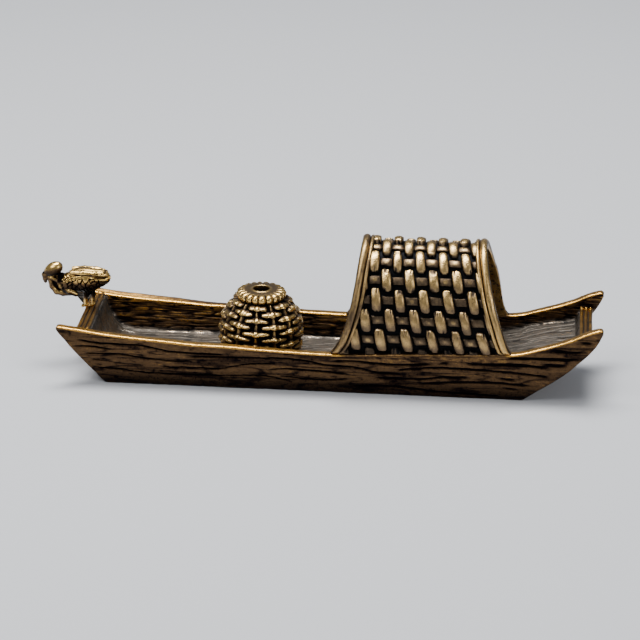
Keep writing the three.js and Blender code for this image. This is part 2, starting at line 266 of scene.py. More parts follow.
def lattice(i, j, k, seed):
    """A fixed random number from -1 to 1 for each corner of a grid."""
    mask = 0xFFFFFFFF
    mixed = (i * 73856093) ^ (j * 19349663) ^ (k * 83492791) ^ (seed * 40503)
    mixed = (mixed ^ (mixed >> 13)) * 1274126177 & mask
    mixed = (mixed ^ (mixed >> 16)) * 668265263 & mask
    return (mixed & 0xFFFF) / 32767.5 - 1


def noise(x, y, z, seed):
    """Smooth noise from -1 to 1, one lump a unit; each seed has its own pattern."""
    x, y, z = np.broadcast_arrays(x, y, z)
    cell = [np.floor(a).astype(np.int64) for a in (x, y, z)]
    part = [a - c for a, c in zip((x, y, z), cell)]
    part = [t * t * (3 - 2 * t) for t in part]
    total = 0
    for corner in range(8):
        bits = [corner & 1, corner >> 1 & 1, corner >> 2 & 1]
        weight = 1
        for t, bit in zip(part, bits):
            weight = weight * (t if bit else 1 - t)
        total = total + weight * lattice(*[c + bit for c, bit in zip(cell, bits)], seed)
    return total


# ---- Meshes ----

CORNERS = [(i, j, k) for i in (0, 1) for j in (0, 1) for k in (0, 1)]
CELL_EDGES = [
    (a, b)
    for a in range(8)
    for b in range(a + 1, 8)
    if sum(abs(p - q) for p, q in zip(CORNERS[a], CORNERS[b])) == 1
]


def net_points(values):
    """One point, in grid steps, inside each cell that the surface passes through."""
    inside = values < 0
    whole = tuple(slice(n - 1) for n in values.shape)
    count = sum(inside[i:, j:, k:][whole].astype(np.int8) for i, j, k in CORNERS)
    cells = np.argwhere((count > 0) & (count < 8))
    at_corner = [values[tuple((cells + corner).T)] for corner in CORNERS]
    total = np.zeros((len(cells), 3))
    crossings = np.zeros(len(cells))
    for a, b in CELL_EDGES:
        cut = (at_corner[a] < 0) != (at_corner[b] < 0)
        t = at_corner[a] / np.where(cut, at_corner[a] - at_corner[b], 1)
        point = np.array(CORNERS[a]) + t[:, None] * (np.array(CORNERS[b]) - np.array(CORNERS[a]))
        total += np.where(cut[:, None], point, 0)
        crossings += cut
    return cells, cells + total / crossings[:, None]


def net_faces(values, cells):
    """A quad round each grid edge that the surface cuts, facing out."""
    inside = values < 0
    number = np.full(np.array(values.shape) - 1, -1, np.int64)
    number[tuple(cells.T)] = np.arange(len(cells))
    faces = []
    for axis in range(3):
        along = np.moveaxis(inside, axis, 0)
        cut = np.argwhere(along[:-1] != along[1:])
        b, c = (axis + 1) % 3, (axis + 2) % 3
        place = np.empty((len(cut), 3), np.int64)
        place[:, axis] = cut[:, 0]
        others = [a for a in range(3) if a != axis]
        place[:, others] = cut[:, 1:]
        leaving = inside[tuple(place.T)]
        ring = []
        for back_b, back_c in ((1, 1), (0, 1), (0, 0), (1, 0)):
            cell = place.copy()
            cell[:, b] -= back_b
            cell[:, c] -= back_c
            ring.append(number[tuple(cell.T)])
        quads = np.stack(ring, 1)
        quads[~leaving] = quads[~leaving][:, ::-1]
        faces.append(quads)
    return np.concatenate(faces)


def settle(points, field, reach):
    """Points moved onto the field's surface along its slope, and the normals there."""
    tick = 0.02
    for _ in range(3):
        x, y, z = points.T
        slope = np.stack(
            [
                field(x + tick, y, z) - field(x - tick, y, z),
                field(x, y + tick, z) - field(x, y - tick, z),
                field(x, y, z + tick) - field(x, y, z - tick),
            ],
            1,
        ) / (2 * tick)
        steep = np.maximum((slope**2).sum(1), 0.05)
        move = (field(x, y, z) / steep)[:, None] * slope
        size = np.linalg.norm(move, axis=1, keepdims=True)
        points = points - move * np.minimum(1, reach / np.maximum(size, 1e-9))
    return points, slope / np.sqrt(steep)[:, None]


def field_mesh(field, low, high, step):
    """Points, normals and quads of a field's surface inside a box."""
    axes = [np.arange(lo, hi + s, s) for lo, hi, s in zip(low, high, step)]
    x, y, z = np.meshgrid(*axes, indexing="ij", sparse=True)
    values = np.broadcast_to(field(x, y, z), [len(a) for a in axes])
    cells, points = net_points(values)
    faces = net_faces(values, cells).tolist()
    return *settle(np.array(low) + points * np.array(step), field, min(step) * 0.7), faces


def loop_mesh(stations, closed):
    """Quads over an array of rings, with a cap at each end or joined end to end."""
    rings, count = stations.shape[:2]
    ring = np.arange(count)
    after = (ring + 1) % count
    faces = []
    for i in range(rings if closed else rings - 1):
        this, following = i * count, (i + 1) % rings * count
        faces.append(np.stack([this + ring, this + after, following + after, following + ring], 1))
    faces = np.concatenate(faces).tolist()
    if not closed:
        faces += [ring[::-1].tolist(), (ring + (rings - 1) * count).tolist()]
    return stations.reshape(-1, 3), faces


def piece(name, points, faces, polish_and_painted_light, look, nodes, grey_reflection=0.0):
    """A piece of the object from points in millimetres, with how polished each is, painted light
    and shade mixed in, and how much painted grey reflection it takes.
    """
    mesh = bpy.data.meshes.new(name)
    mesh.from_pydata((points * MM).tolist(), [], faces)
    mesh.validate()
    for label, value in (("polish_and_painted_light", polish_and_painted_light), ("grey_reflection", grey_reflection)):
        attribute = mesh.attributes.new(label, "FLOAT", "POINT")
        spread = np.broadcast_to(np.clip(value, 0, 1), len(points))
        attribute.data.foreach_set("value", spread.astype(np.float32))
    mesh.shade_smooth()
    material, slot = look
    mesh.materials.append(material)
    made = bpy.data.objects.new(name, mesh)
    bpy.context.scene.collection.objects.link(made)
    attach(made, "root")
    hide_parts(*nodes)


# ---- Materials ----


def node(tree, kind, inputs=None, **settings):
    """A new shader node; each input is a value or another node's output to link to it."""
    made = tree.nodes.new(kind)
    for name, value in settings.items():
        setattr(made, name, value)
    for name, value in (inputs or {}).items():
        if isinstance(value, bpy.types.NodeSocket):
            tree.links.new(value, made.inputs[name])
        else:
            made.inputs[name].default_value = value
    return made


def sum_of(tree, a, b, b_scale):
    """a + b * b_scale"""
    scaled = node(tree, "ShaderNodeMath", {0: b, 1: b_scale, 2: a}, operation="MULTIPLY_ADD")
    return scaled.outputs[0]


def mottle(tree, place, size, detail, stretch=(1, 1, 1)):
    """Noise around 0, in lumps of that size in millimetres."""
    mapped = node(tree, "ShaderNodeMapping", {"Vector": place, "Scale": stretch}).outputs[0]
    settings = {"Vector": mapped, "Scale": 1 / (size * MM), "Detail": detail, "Roughness": 0.6}
    noise_node = node(tree, "ShaderNodeTexNoise", settings)
    centred = node(tree, "ShaderNodeMath", {0: noise_node.outputs[0], 1: 0.5}, operation="SUBTRACT")
    return centred.outputs[0]


# Painted grey reflection: the colours the brass turns towards where it is painted as mirroring grey
# surroundings, near black where unpolished and light grey where polished
REFLECTION_GREY = (0.62, 0.55, 0.46, 1)
REFLECTION_BLACK = (0.02, 0.02, 0.02, 1)


def blend(tree, amount, first, second):
    """The first colour turning into the second as amount goes from 0 to 1."""
    # A mix node's colours are its inputs 6 and 7 and its output 2
    colours = {0: amount, 6: first, 7: second}
    return node(tree, "ShaderNodeMix", colours, data_type="RGBA").outputs[2]


def antique_brass(name, patina, bronze, gold, rough, wear, grain, pitting, dent):
    """Brass that is dark in its hollows and rubbed bright on what stands out, with painted light
    and shade carried in its polish.

    rough is the roughness of the patina and of the polish, wear is how much the two mix in broad
    patches and in fine ones, grain stretches the fine scratches along the piece, pitting is how
    dark the pits look and dent is the depth of the fine relief, in millimetres."""
    material = bpy.data.materials.new(name)
    material.use_nodes = True
    tree = material.node_tree
    shader = tree.nodes["Principled BSDF"]
    place = node(tree, "ShaderNodeTexCoord").outputs["Object"]
    polish_and_painted_light = node(tree, "ShaderNodeAttribute", attribute_name="polish_and_painted_light").outputs["Fac"]
    grey_reflection = node(tree, "ShaderNodeAttribute", attribute_name="grey_reflection").outputs["Fac"]
    broad = mottle(tree, place, 5.0, 3.0)
    fine = mottle(tree, place, 0.5, 3.0, grain)
    speck = mottle(tree, place, 0.24, 2.0)
    pit_range = {"Value": speck, "From Min": 0.02, "From Max": 0.2}
    pits = node(tree, "ShaderNodeMapRange", pit_range).outputs[0]
    # Polish, with its painted light and shade, plus wear noise and pits, sets the colour and
    # roughness
    worn_and_lit = sum_of(tree, polish_and_painted_light, broad, wear[0])
    worn_and_lit = sum_of(tree, worn_and_lit, fine, wear[1])
    worn_and_lit = sum_of(tree, worn_and_lit, pits, -pitting)
    ramp = node(tree, "ShaderNodeValToRGB", {"Fac": worn_and_lit})
    stops = ramp.color_ramp.elements
    stops[0].position = 0.05
    stops[0].color = (*patina, 1)
    stops[1].position = 0.95
    stops[1].color = (*gold, 1)
    stops.new(0.45).color = (*bronze, 1)
    reflected_grey = blend(tree, worn_and_lit, REFLECTION_BLACK, REFLECTION_GREY)
    tree.links.new(blend(tree, grey_reflection, ramp.outputs[0], reflected_grey), shader.inputs["Base Color"])
    rough_range = {"Value": worn_and_lit, "To Min": rough[0], "To Max": rough[1]}
    dull = node(tree, "ShaderNodeMapRange", rough_range).outputs[0]
    tree.links.new(sum_of(tree, dull, fine, 0.25), shader.inputs["Roughness"])
    shader.inputs["Metallic"].default_value = 1.0
    height = sum_of(tree, fine, pits, -0.6)
    relief = {"Height": height, "Strength": 0.5, "Distance": dent * MM}
    tree.links.new(node(tree, "ShaderNodeBump", relief).outputs[0], shader.inputs["Normal"])
    return material


HULL_BRASS = antique_brass(
    "antique_hull_brass",
    patina=(0.005, 0.003, 0.004),
    bronze=(0.105, 0.060, 0.029),
    gold=(0.86, 0.46, 0.09),
    rough=(0.6, 0.2),
    wear=(0.1, 0.34),
    grain=(0.3, 1, 1),
    pitting=0.2,
    dent=0.09,
)
CANOPY_BRASS = antique_brass(
    "antique_canopy_brass",
    patina=(0.005, 0.005, 0.006),
    bronze=(0.155, 0.103, 0.058),
    gold=(0.88, 0.57, 0.20),
    rough=(0.5, 0.24),
    wear=(0.16, 0.3),
    grain=(1, 1, 0.4),
    pitting=0.14,
    dent=0.06,
)
BASKET_BRASS = antique_brass(
    "antique_basket_brass",
    patina=(0.005, 0.004, 0.004),
    bronze=(0.14, 0.090, 0.050),
    gold=(0.91, 0.60, 0.20),
    rough=(0.5, 0.22),
    wear=(0.1, 0.06),
    grain=(1, 1, 1),
    pitting=0.06,
    dent=0.015,
)
BIRD_BRASS = antique_brass(
    "antique_bird_brass",
    patina=(0.004, 0.003, 0.003),
    bronze=(0.13, 0.078, 0.040),
    gold=(0.93, 0.60, 0.18),
    rough=(0.45, 0.22),
    wear=(0.06, 0.14),
    grain=(1, 1, 1),
    pitting=0.1,
    dent=0.03,
)
HULL = (HULL_BRASS, "hull_brass")
CANOPY = (CANOPY_BRASS, "canopy_brass")
BASKET = (BASKET_BRASS, "basket_brass")
BIRD = (BIRD_BRASS, "bird_brass")


# ---- Hull ----

gunwale_z = curve(GUNWALE)
floor_z = curve(FLOOR)
stern_x = curve(swapped(STERN_RAKE))
LEAN = math.cos(math.atan(FLARE))  # turns a width beside the flared side into a distance


def slope_scale(function, x):
    """Turns a height over a curve into a distance from it."""
    tick = 0.1
    slope = (function(x + tick) - function(x - tick)) / (2 * tick)
    return 1 / np.sqrt(1 + slope**2)


def half_width(x, z):
    """Half the hull's width: flared up from the bottom, and a little less at the ends."""
    upright = END_HALF + (BEAM_HALF - END_HALF) * (1 - (x / HULL_HI[0]) ** 2)
    return np.minimum(BOTTOM_HALF + FLARE * z, upright)


def bow_rake(x, z, top_x, top_z):
    """Distance ahead of a raked plane that runs from the bottom's end to a point above."""
    run = BOTTOM_BOW_X - top_x
    return (BOTTOM_BOW_X - x - z * run / top_z) * top_z / math.hypot(run, top_z)


def bow_end(x, z):
    """Distance ahead of the bow transom's outer face, which rises to the crossbar's front."""
    return bow_rake(x, z, BOW_BAR_LO[0], SEAT_Z)


def stern_rake(x, z):
    """Distance aft of the curved rake of the stern."""
    return (x - stern_x(z)) * slope_scale(stern_x, z)


def hull_shape(x, y, z):
    """The hull's field: a filled boat, less its well and the open corner ahead of the bow seat."""
    outside = (np.abs(y) - half_width(x, z)) * LEAN
    between = outside + WALL
    lift = FAR_LIFT * fade(y, BEAM_HALF - WALL, BEAM_HALF - 0.2) * fade(x, -15, -42)
    sheer = z - gunwale_z(x) - lift - RIM_WAVER * noise(x / 5, y / 9, 0.5, 5)
    sheer = sheer * slope_scale(gunwale_z, x)
    ends = np.maximum(bow_rake(x, z, HULL_LO[0], BOW_RAKE_TOP_Z), stern_rake(x, z))
    filled = round_max(outside, round_max(sheer, ends, TIP_ROUND), RIM_ROUND)
    filled = round_max(filled, -z, EDGE_ROUND)
    well = round_max(between, (floor_z(x) - z) * slope_scale(floor_z, x), FILLET)
    ahead = round_max(between, -bow_end(x, z), EDGE_ROUND)
    return round_max(filled, round_max(-well, -ahead, EDGE_ROUND), RIM_ROUND)


def grooves(x, z):
    """How deep in one of the long grain lines a point of the side is, from 0 to 1."""
    width = GROOVE_HALF * (1 + 0.5 * fade(x, -10, 20) + 0.4 * noise(x / 2.4, z / 3, 0.5, 13))
    z = z + 0.09 * noise(x / 1.5, z / 2, 1.5, 14) + 0.05 * noise(x / 0.6, z / 2, 2.5, 15)
    deepest = np.zeros_like(x)
    for line in GROOVES:
        reach = np.minimum(x - line[0][0], line[-1][0] - x)
        off = np.abs(z - curve(line)(x))
        deepest = np.maximum(deepest, fade(reach, -0.4, 1.6) * fade(off, width, width * 0.35))
    return deepest


def fine_grain(along, across, seed):
    """Thin wavy lines along a plank, 1 in a line and 0 between."""
    line = fade(np.abs(noise(along / 8, across / 0.8, 0.5, seed)), 0.2, 0.04)
    return line * fade(noise(along / 5, across / 2, 1.5, seed), -0.7, 0.0)


def hull_regions(points, normals):
    """How far each point belongs to the rim, the sides, the linings, the deck and the bow ramp."""
    x, y, z = points.T
    below = gunwale_z(x) - z
    inset = half_width(x, z) - np.abs(y)
    middle = fade(inset, WALL + 0.05, WALL + 0.3)
    rim = fade(below, 0.5, 0.3) * (1 - middle)
    outward = np.sign(y) * normals[:, 1]
    outer = fade(outward, 0.25, 0.6) * (1 - rim)
    inner = fade(-outward, 0.35, 0.8) * (1 - rim)
    deck = middle * (1 - inner) * fade(normals[:, 2], -0.05, 0.1)
    ramp = deck * fade(x, RAMP_FOOT_X + 0.5, RAMP_FOOT_X - 1.5)
    return rim, outer, inner, deck, ramp


def floor_glint(points, normals):
    """Painted glints: bright spots along the corners where the floor meets the planks."""
    x, y, z = points.T
    inset = half_width(x, z) - np.abs(y)
    inward = -np.sign(y) * normals[:, 1]
    corner = fade(inward, 0.2, 0.45) * fade(np.abs(z - floor_z(x) - 0.2), 0.32, 0.1)
    corner = corner * fade(inset, WALL - 0.1, WALL)
    patches = noise(x / 3.5, y / 9, 0.5, 47) + 0.5 * noise(x / 0.8, y, 0.5, 48)
    return corner * fade(patches, -0.1, 0.2) * fade(x, RAMP_FOOT_X, RAMP_FOOT_X + 2)


def hull_relief(points, normals):
    """How deep each point is cut, in millimetres, how polished it is with painted light and shade,
    and how much painted grey reflection it takes.
    """
    x, y, z = points.T
    rim, outer, inner, deck, ramp = hull_regions(points, normals)
    below, above = gunwale_z(x) - z, z - floor_z(x)

    # The two sides are cut from different parts of the noise
    apart = np.where(y > 0, 50.0, 0.0)
    long_lines = grooves(x, z) * outer
    outer_lines = fine_grain(x, z + apart, 21) * outer
    inner_lines = np.maximum(fine_grain(x * 1.8, z * 1.8 + apart, 23), fine_grain(x, z * 2.8, 24))
    inner_lines = inner_lines * inner
    deck_lines = fine_grain(x * 1.2, y * 1.5, 31) * (deck - ramp)
    striae = fine_grain(z * 1.5, y * 2.4 + 0.25 * z, 37) * ramp
    lumps = noise(x / 1.8, y / 1.8, z / 0.9, 41)
    pits = fade(noise(x / 0.8, y / 0.6, z / 0.5, 43), 0.35, 0.75) * (1 - rim)
    cut = GROOVE_DEPTH * long_lines + OUTER_GRAIN_DEPTH * outer_lines
    cut = cut + INNER_GRAIN_DEPTH * inner_lines + DECK_GRAIN_DEPTH * (deck_lines + striae)
    cut = cut - LUMP_HEIGHT * lumps + PIT_DEPTH * pits

    # Painted shadow of the canopy: the rim is darker under it
    canopy_shadow = fade(x, 4.0, 6.0) * fade(x, 41.0, 39.0)  # under the canopy
    # Painted shade: the outer sides darken towards the bottom
    side_polish_and_shade = 0.14 + 0.29 * fade(z, 0.3, 4.5) + 0.05 * canopy_shadow * fade(below, 2.4, 1.4)
    # Painted shade: the linings darken down towards the floor
    lining_polish_and_shade = 0.38 + 0.22 * fade(above, 0.8, 4.0) + 0.18 * lumps
    # Painted shade on the fillets where the deck turns up into the planks, painted light
    # brightening the bow ramp, and the deck darker along the bow crossbar's back edge
    fillet_shade = fade(-np.sign(y) * normals[:, 1], 0.1, 0.4)
    deck_polish_and_light = (0.38 + 0.10 * lumps + 0.36 * ramp) * (1 - 0.6 * fillet_shade)
    deck_polish_and_light = deck_polish_and_light * (1 - 0.7 * fade(np.abs(x - BOW_BAR_HI[0] - 0.1), 0.7, 0.3))
    polish_and_painted_light = outer * side_polish_and_shade + inner * lining_polish_and_shade + deck * deck_polish_and_light
    polish_and_painted_light = polish_and_painted_light + 0.3 * np.clip(1 - outer - inner - deck - rim, 0, 1)
    # Painted light on the rim: brighter where it rounds over to the sides than on its flat top,
    # darkened by the canopy's painted shadow and on the far rim's sloped top at the bow
    rim_edge_sheen = fade(np.abs(normals[:, 1]), 0.15, 0.5)
    slant_shade = fade(y, BEAM_HALF - 1.6, BEAM_HALF - 1.2) * fade(x, -12, -25)
    rim_polish_and_light = (0.76 + 0.22 * rim_edge_sheen) * (1 - 0.5 * canopy_shadow) * (1 - 0.4 * slant_shade)
    polish_and_painted_light = polish_and_painted_light * (1 - rim) + rim * rim_polish_and_light
    # Painted glints, raised in polish and whitened with painted grey reflection
    glint = floor_glint(points, normals)
    polish_and_painted_light = np.maximum(polish_and_painted_light, 0.95 * glint)
    dark = 0.97 * long_lines + 0.65 * outer_lines + 0.92 * inner_lines
    dark = dark + 0.6 * deck_lines + 0.5 * striae + 0.5 * pits
    polish_and_painted_light = polish_and_painted_light * (1 - np.clip(dark, 0, 0.98))
    # Painted grey reflection on the deck and at the foot of the linings, and whitened glints
    reflected_grey = deck * (0.75 + 0.1 * ramp) + inner * fade(above, 1.2, 0.2) * 0.6
    return cut, polish_and_painted_light, np.maximum(reflected_grey, 0.6 * glint)


def make_hull():
    margin = 0.6
    points, normals, faces = field_mesh(hull_shape, HULL_LO - margin, HULL_HI + margin, HULL_STEP)
    cut, polish_and_painted_light, reflected_grey = hull_relief(points, normals)
    piece("hull", points - normals * cut[:, None], faces, polish_and_painted_light, HULL, ["hull"], reflected_grey)


def make_crossbar(name, low, high, rise, behind):
    """A bar with round ridges, run into the planks on both sides, where it rises a little. behind
    gives how far a point is past the hull's own end, where the bar stops."""
    pitch = (high[0] - low[0]) / BAR_RIDGES
    ridge_r = pitch * 0.46

    def field(x, y, z):
        wobble = 0.1 * noise(x * 0, y / 2.5, 0.5, 51)
        top = high[2] - ridge_r - 0.04 + rise * fade(np.abs(y), high[1] - 1.3, high[1] + 0.2)
        flat = np.maximum(z - (top - 0.12), low[2] - BAR_SUNK - z)
        whole = np.maximum(flat, np.maximum(low[0] + 0.1 - x, x - high[0] + 0.1))
        for i in range(BAR_RIDGES):
            middle = low[0] + (i + 0.5) * pitch
            ridge = np.hypot(x - middle - wobble, z - top) - ridge_r
            whole = np.minimum(whole, ridge)
        whole = np.maximum(whole, behind(x, z) + 0.05)
        return round_max(whole, np.abs(y) - (high[1] + BAR_BURIED), 0.2)

    margin = np.array([0.4, 0.8, 0.8])
    points, _, faces = field_mesh(field, low - margin, high + margin, BAR_STEP)
    x, y, z = points.T
    rub = noise(x, y / 2.5, z, 53)
    ridge_top = fade(z, high[2] - 0.42, high[2] - 0.12)
    polish_and_painted_light = 0.2 + (0.42 + 0.15 * rub) * ridge_top
    # Painted highlights where the ridges rise at the bar's ends
    polish_and_painted_light = polish_and_painted_light + 0.8 * rise * fade(np.abs(y), high[1] - 1.0, high[1] - 0.3) * ridge_top
    # Painted grey reflection in the grooves between the ridges
    piece(name, points, faces, polish_and_painted_light, HULL, [name], 0.9 * (1 - ridge_top))


# ---- Canopy ----

front_x = curve(swapped(FRONT_EDGE))
rear_x = curve(swapped(REAR_EDGE))


def arch_point(angle, outset):
    """(Y, Z) on the arch, at an angle from the near springing, moved out along its normal."""
    across, up = np.cos(angle) / ARCH_HALF, np.sin(angle) / ARCH_RISE
    size = np.hypot(across, up)
    y = -ARCH_HALF * np.cos(angle) - outset * across / size
    return y, ARCH_Z + ARCH_RISE * np.sin(angle) + outset * up / size


def arch_length(angle):
    """Length along the arch from the near springing, for angles from 0 to half a turn."""
    fine = np.linspace(LEG_ANGLE, math.pi - LEG_ANGLE, 2000)
    y, z = arch_point(fine, 0.0)
    travelled = np.concatenate([[0], np.cumsum(np.hypot(np.diff(y), np.diff(z)))])
    return np.interp(angle, fine, travelled)


def upright_strips(x, row, column, up, own):
    """Height and polish, with painted light and shade, of the upright strips, which each stand over
    every second row, and how far each point is along its strip, in rows from the strip's middle."""
    beat = row + np.round(column) + 1
    along = beat - 2 * np.round(beat / 2)
    above = np.where(row < (WEAVE_ROWS - 1) / 2, along, -along)
    across = (column - np.round(column)) / (0.40 + 0.02 * own)
    length = np.abs(along) / (0.57 + 0.03 * own)
    oval = np.abs(across) ** 3.5 + length**6
    height = 0.36 * np.sqrt(np.clip(1 - across**2, 0, 1)) + 0.44 * np.clip(1 - length**2, 0, 1)
    height = height - 0.16 + 0.05 * own - 2 * fade(oval, 0.92, 1.1)
    split = fade(above, 0.22, 0.45) * fade(noise(x / 0.3, row * 0.8, 3.5, 65), 0.1, 0.4)
    low_split = fade(above, -0.3, -0.5) * fade(noise(x / 0.5, row * 0.9, 4.5, 66), 0.3, 0.5)
    split = np.maximum(split, low_split)
    # Painted light and shade: upper rows brighter, each strip darker at its lower end and its sides
    polish_and_painted_light = 0.7 + 0.26 * fade(up, 0.5, 4) + 0.08 * own - 0.3 * fade(above, 0.0, -0.5)
    polish_and_painted_light = polish_and_painted_light * fade(height, -0.1, 0.24) * (1 - 0.35 * across**2) * (1 - 0.8 * split)
    return height - 0.16 * split, polish_and_painted_light, along


def flat_strips(row, column, up, own):
    """Height and polish, with painted light, of the flat strips, which show between the uprights of
    each row.
    """
    beat = column + np.round(row) + 1
    aside = np.abs(beat - 2 * np.round((beat - 1) / 2) - 1)
    off = np.abs(row - np.round(row))
    height = -0.14 - 0.2 * (aside / 0.5) ** 4 - 0.12 * (off / 0.2) ** 2 + 0.05 * own
    height = height - 2.2 * fade(off, 0.19, 0.25) - 2.2 * fade(aside, 0.56, 0.62)
    # Painted highlight in the middle of each flat, and painted light brightening the upper rows
    highlight_spot = fade(aside, 0.36, 0.05) * fade(off, 0.17, 0.03)
    highlight_strength = 0.28 + 0.3 * own + 0.35 * fade(up, 3, 5.5)
    return height, 0.28 + 0.12 * fade(up, 2, 5.5) + highlight_strength * highlight_spot


def weave(x, angle):
    """Height of the plaited strips over the arch, and their polish with its painted light and
    shade.
    """
    first, last = arch_length(WEAVE_FIRST_ROW), arch_length(math.pi - WEAVE_FIRST_ROW)
    row = (WEAVE_ROWS - 1) * (arch_length(angle) - first) / (last - first)
    up = np.minimum(row, WEAVE_ROWS - 1 - row)
    pitch = WEAVE_PITCH[0] + WEAVE_PITCH[1] * up
    middle = WEAVE_MIDDLE[0] + WEAVE_MIDDLE[1] * up + WEAVE_MIDDLE[2] * up**2
    column = (x - middle) / pitch + 5 + 0.06 * noise(x / 2.5, row * 0.9, 0.5, 61)
    row = row + 0.05 * noise(x / 3, row * 0.9, 1.5, 62)
    own = noise(np.round(column) * 3.7, np.round(row) * 5.3, 2.5, 64)
    grain = 0.03 * noise(x / 0.6, arch_length(angle) / 1.2, 1.5, 63)
    upright, upright_polish_and_light, along = upright_strips(x, row, column, up, own)
    flat, flat_polish_and_light = flat_strips(row, column, up, own)
    height = np.maximum(np.maximum(upright, flat), WEAVE_DEEP) + grain
    polish_and_painted_light = np.where(upright > flat, upright_polish_and_light, flat_polish_and_light)

    # Below the lowest row only the ends of dark strips show
    strip_row = np.where(upright > flat, row - along, np.round(row))
    buried = np.abs(strip_row - (WEAVE_ROWS - 1) / 2) > WEAVE_ROWS / 2
    return height, polish_and_painted_light * fade(height, -0.55, -0.25) * np.where(buried, 0.3, 1)


def beads(w):
    """Height of a rib at w from its opening edge: a wide bead, then a thin one."""
    wide, thin = (
        tall * np.sqrt(np.clip(1 - ((w - middle) / half) ** 2, 0, 1))
        for middle, half, tall in (WIDE_BEAD, THIN_BEAD)
    )
    return np.maximum(wide, thin)


def footing(x, z):
    """1 where the arch is clear of the hull's sides, 0 at their top and less inside them."""
    clear = z - gunwale_z(x)
    return fade(clear, -0.4, 2.2) - 0.6 * fade(clear, -0.2, -1.0)


def arch_mesh(angles, outer_s, x_of, outer_height, inside):
    """A band of the arch, as deep inside it as inside says: x_of gives X across the band at each
    height, and outer_height the relief and its polish with painted light and shade."""
    angle = angles[:, None]
    s = outer_s[None, :]
    rough_y, rough_z = arch_point(angle, 0.0)
    tuck = FAR_TUCK * (rough_y > 0) * fade(rough_z, 22, 10)
    x = x_of(s, rough_z, tuck)
    height, polish_and_painted_light = outer_height(x, s, angle)
    height = np.minimum(height, 0.15 + 2 * footing(x, rough_z))
    y, z = arch_point(np.broadcast_to(angle, height.shape), height)
    outer = np.stack([x, y, z], 2)
    inner_x = x_of(np.linspace(1, 0, 90)[None, :], rough_z, tuck)
    inner_angle = np.broadcast_to(angle, inner_x.shape)
    travelled = arch_length(inner_angle)
    dents = noise(inner_x / 1.3, travelled / 1.3, 0.5, 67)
    y, z = arch_point(inner_angle, -inside + 0.1 * dents)
    inner = np.stack([inner_x, y, z], 2)
    pits = fade(noise(inner_x / 0.45, travelled / 0.45, 1.5, 69), 0.2, 0.6)
    # Painted light: the inside of the arch is painted bright, standing in for light bounced around
    # inside it
    inner_polish_and_light = (0.78 + 0.12 * dents) * (1 - 0.6 * pits)
    stations = np.concatenate([outer, inner], 1)[::-1]
    points, faces = loop_mesh(stations, closed=False)
    return points, faces, np.concatenate([polish_and_painted_light, inner_polish_and_light], 1)[::-1].ravel()


def make_shell():
    angles = np.linspace(LEG_ANGLE, math.pi - LEG_ANGLE, 440)
    overlap = RIB_WIDTH - 0.5

    def x_of(s, z, tuck):
        start, end = front_x(z) + tuck + overlap, rear_x(z) - tuck - overlap
        return start + (end - start) * s

    def outer(x, s, angle):
        return weave(x, np.broadcast_to(angle, x.shape))

    made = arch_mesh(angles, np.linspace(0, 1, 250), x_of, outer, SHELL_INSIDE)
    # A slight painted grey reflection over the whole shell
    piece("canopy_shell", *made, CANOPY, ["canopy_shell"], 0.05)


def make_rib(name, edge_x, side, light_level):
    """side is 1 where the rib's opening edge is towards the bow, and -1 towards the stern."""
    angles = np.linspace(LEG_ANGLE, math.pi - LEG_ANGLE, 360)

    def from_edge(s):
        return RIB_WIDTH * (s if side > 0 else 1 - s)

    def x_of(s, z, tuck):
        return edge_x(z) + side * (tuck + from_edge(s))

    def outer(x, s, angle):
        w = np.broadcast_to(from_edge(s), x.shape)
        travelled = arch_length(np.broadcast_to(angle, x.shape))
        uneven = noise(w / 0.7, travelled / 2.2, 0.5, 71)
        height = beads(w + 0.08 * uneven) + RIB_RISE - WIDE_BEAD[2] + 0.04 * uneven
        scuffs = noise(w / 0.35, travelled / 1.8, 1.5, 73)
        # Painted light: each rib has its own brightness, and is painted brighter towards the top of
        # the arch
        lit = light_level + 0.15 * np.sin(np.clip(angle, 0, math.pi)) + 0.2 * scuffs
        polish_and_painted_light = 0.1 + lit * fade(beads(w), 0.2, 0.5)
        return height, polish_and_painted_light

    made = arch_mesh(angles, np.linspace(0, 1, 44), x_of, outer, RIB_INSIDE)
    piece(name, *made, CANOPY, [name])


# ---- Basket ----


def turned_mesh(radius, height, turns):
    """A closed profile, given as its radii and heights at each turn, joined into a ring."""
    angle = turns[:, None]
    x = BASKET_X + radius * np.cos(angle)
    y = BASKET_Y + radius * np.sin(angle)
    stations = np.stack(np.broadcast_arrays(x, y, height), 2)
    return loop_mesh(stations, closed=True)


side_r = curve(swapped(BASKET_SIDE))


def side_length(z):
    """How far up the basket's side a height is, measured along the side."""
    heights = np.linspace(BASKET_SIDE[0][1], BASKET_SIDE[-1][1], 60)
    steps = np.hypot(np.diff(heights), np.diff(side_r(heights)))
    return np.interp(z, heights, np.concatenate([[0], np.cumsum(steps)]))


